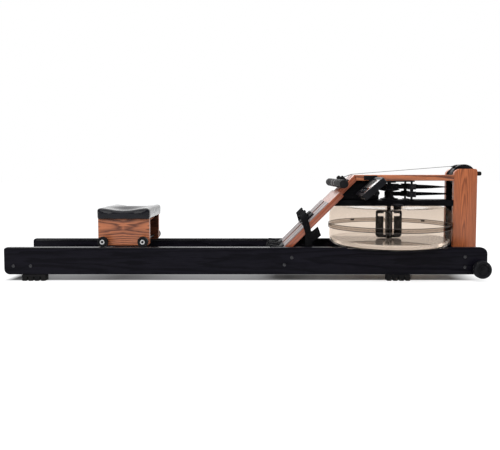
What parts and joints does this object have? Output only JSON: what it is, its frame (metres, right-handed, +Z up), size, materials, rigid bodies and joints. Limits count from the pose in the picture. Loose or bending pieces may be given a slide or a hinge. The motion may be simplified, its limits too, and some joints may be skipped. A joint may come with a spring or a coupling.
{
  "type": "water rowing machine",
  "caption": "Rowing machine with a water tank: wooden rails, rolling seat, sloping footboard with straps, pull handle on a strap, paddle in a clear tank, tilting monitor.",
  "frame": {"origin": "on the floor, under the middle of the machine's length and width", "axes": "+X from the rower's end of the rails towards the tank, +Y to the rower's left, +Z up"},
  "size_m": [2.0964, 0.551, 0.5025],
  "materials": {
    "rail": "black stained ash, satin",
    "oxblood": "oxblood stained ash, satin lacquer",
    "black_plastic": "moulded black plastic, fine texture",
    "gloss_black": "glossy black runner strip",
    "rubber": "black rubber",
    "vinyl": "black vinyl, slight gloss",
    "grey_plate": "grey textured foot plate",
    "steel": "plain steel",
    "black_steel": "black powder coat",
    "tank_shell": "clear smoke polycarbonate",
    "seal": "dark seal",
    "webbing": "woven black webbing",
    "screen": "clear window over a grey display"
  },
  "bodies": {
    "frame": {"bumper_left": "rubber", "bumper_right": "rubber", "deck_web": "rail", "drive_bracket": "black_steel", "drive_strap": "webbing", "foot_front_left": "rubber", "foot_front_right": "rubber", "foot_plate_left": "grey_plate", "foot_plate_right": "grey_plate", "foot_rear_left": "rubber", "foot_rear_right": "rubber", "foot_strap_left": "webbing", "foot_strap_right": "webbing", "footboard": "oxblood", "footboard_block": "rail", "front_spreader": "rail", "handle_rest": "rubber", "lower_bearing": "black_steel", "lower_deck": "rail", "monitor_arm": "black_steel", "rail_left": "rail", "rail_right": "rail", "rear_spreader": "rail", "recoil_cord": "webbing", "recoil_strap": "webbing", "roller_guard": "black_plastic", "tank_lower": "tank_shell", "tank_seal": "seal", "tank_upper": "tank_shell", "top_deck": "oxblood", "track_left": "gloss_black", "track_right": "gloss_black", "transport_axle": "steel", "upright_left": "oxblood", "upright_right": "oxblood"},
    "seat": {"seat_plate_left": "oxblood", "seat_plate_right": "oxblood", "seat_board": "oxblood", "seat_pad": "vinyl"},
    "seat_rear_axle": {"seat_axle_rear": "steel", "seat_wheel_rear_left": "rubber", "seat_wheel_rear_right": "rubber"},
    "seat_front_axle": {"seat_axle_front": "steel", "seat_wheel_front_left": "rubber", "seat_wheel_front_right": "rubber"},
    "handle": {"handle_bar": "steel", "handle_grip": "rubber"},
    "top_roller": {"top_roller": "black_plastic"},
    "recoil_roller": {"recoil_roller": "black_plastic"},
    "drum": {"drive_drum": "black_plastic"},
    "paddle": {"paddle": "black_plastic"},
    "guide_spool_left": {"guide_spool_left": "black_plastic"},
    "guide_spool_right": {"guide_spool_right": "black_plastic"},
    "heel_rest_left": {"heel_rest_left": "black_plastic"},
    "heel_rest_right": {"heel_rest_right": "black_plastic"},
    "monitor": {"monitor_case": "black_plastic", "monitor_glass": "screen"},
    "fill_plug": {"fill_plug": "black_plastic"},
    "transport_wheel_left": {"transport_wheel_left": "black_plastic"},
    "transport_wheel_right": {"transport_wheel_right": "black_plastic"}
  },
  "joints": [
    {"name": "seat_slide", "type": "slide", "parent": "frame", "child": "seat", "axis": [1, 0, 0], "range_m": [-0.37, 0.45]},
    {"name": "seat_rear_axle_spin", "type": "hinge", "parent": "seat", "child": "seat_rear_axle", "pos_m": [-0.626, 0, 0.1668], "axis": [0, 1, 0], "range_deg": [-960, 1160]},
    {"name": "seat_front_axle_spin", "type": "hinge", "parent": "seat", "child": "seat_front_axle", "pos_m": [-0.453, 0, 0.1668], "axis": [0, 1, 0], "range_deg": [-960, 1160]},
    {"name": "handle_pull", "type": "slide", "parent": "frame", "child": "handle", "axis": [-1, 0, 0], "range_m": [0, 1.1], "stiffness_N_per_m": 10, "springref_m": -0.2, "deforming": ["drive_strap"]},
    {"name": "top_roller_spin", "type": "hinge", "parent": "frame", "child": "top_roller", "pos_m": [0.9722, 0, 0.448], "axis": [0, 1, 0], "range_deg": [-1300, 0]},
    {"name": "recoil_roller_spin", "type": "hinge", "parent": "frame", "child": "recoil_roller", "pos_m": [0.9842, 0, 0.3497], "axis": [0, 1, 0], "range_deg": [-1640, 0]},
    {"name": "drum_spin", "type": "hinge", "parent": "frame", "child": "drum", "pos_m": [0.6455, 0, 0.385], "axis": [0, 0, 1], "range_deg": [0, 1480]},
    {"name": "guide_spool_right_spin", "type": "hinge", "parent": "frame", "child": "guide_spool_right", "pos_m": [0.7335, -0.052, 0.385], "axis": [0, 0, 1], "range_deg": [-3130, 0]},
    {"name": "guide_spool_left_spin", "type": "hinge", "parent": "frame", "child": "guide_spool_left", "pos_m": [0.7335, 0.052, 0.385], "axis": [0, 0, 1], "continuous": true},
    {"name": "paddle_spin", "type": "hinge", "parent": "frame", "child": "paddle", "pos_m": [0.6455, 0, 0.23], "axis": [0, 0, 1], "continuous": true},
    {"name": "heel_rest_left_slide", "type": "slide", "parent": "frame", "child": "heel_rest_left", "axis": [0.7071, 0, 0.7071], "range_m": [0, 0.08]},
    {"name": "heel_rest_right_slide", "type": "slide", "parent": "frame", "child": "heel_rest_right", "axis": [0.7071, 0, 0.7071], "range_m": [0, 0.08]},
    {"name": "monitor_tilt", "type": "hinge", "parent": "frame", "child": "monitor", "pos_m": [0.54673, -0.15, 0.37845], "axis": [0, 1, 0], "range_deg": [-30, 30]},
    {"name": "fill_plug_lift", "type": "slide", "parent": "frame", "child": "fill_plug", "axis": [0, 0, 1], "range_m": [0, 0.04]},
    {"name": "transport_wheel_left_spin", "type": "hinge", "parent": "frame", "child": "transport_wheel_left", "pos_m": [0.9998, 0.189, 0.052], "axis": [0, 1, 0], "continuous": true},
    {"name": "transport_wheel_right_spin", "type": "hinge", "parent": "frame", "child": "transport_wheel_right", "pos_m": [0.9998, -0.189, 0.052], "axis": [0, 1, 0], "continuous": true}
  ],
  "couplings": [
    {"joint": "seat_rear_axle_spin", "follows": "seat_slide", "rad_per_m": 44.444},
    {"joint": "seat_front_axle_spin", "follows": "seat_slide", "rad_per_m": 44.444},
    {"joint": "top_roller_spin", "follows": "handle_pull", "rad_per_m": -20.284},
    {"joint": "drum_spin", "follows": "handle_pull", "rad_per_m": 23.095},
    {"joint": "recoil_roller_spin", "follows": "handle_pull", "rad_per_m": -25.619},
    {"joint": "guide_spool_right_spin", "follows": "handle_pull", "rad_per_m": -49.261}
  ]
}
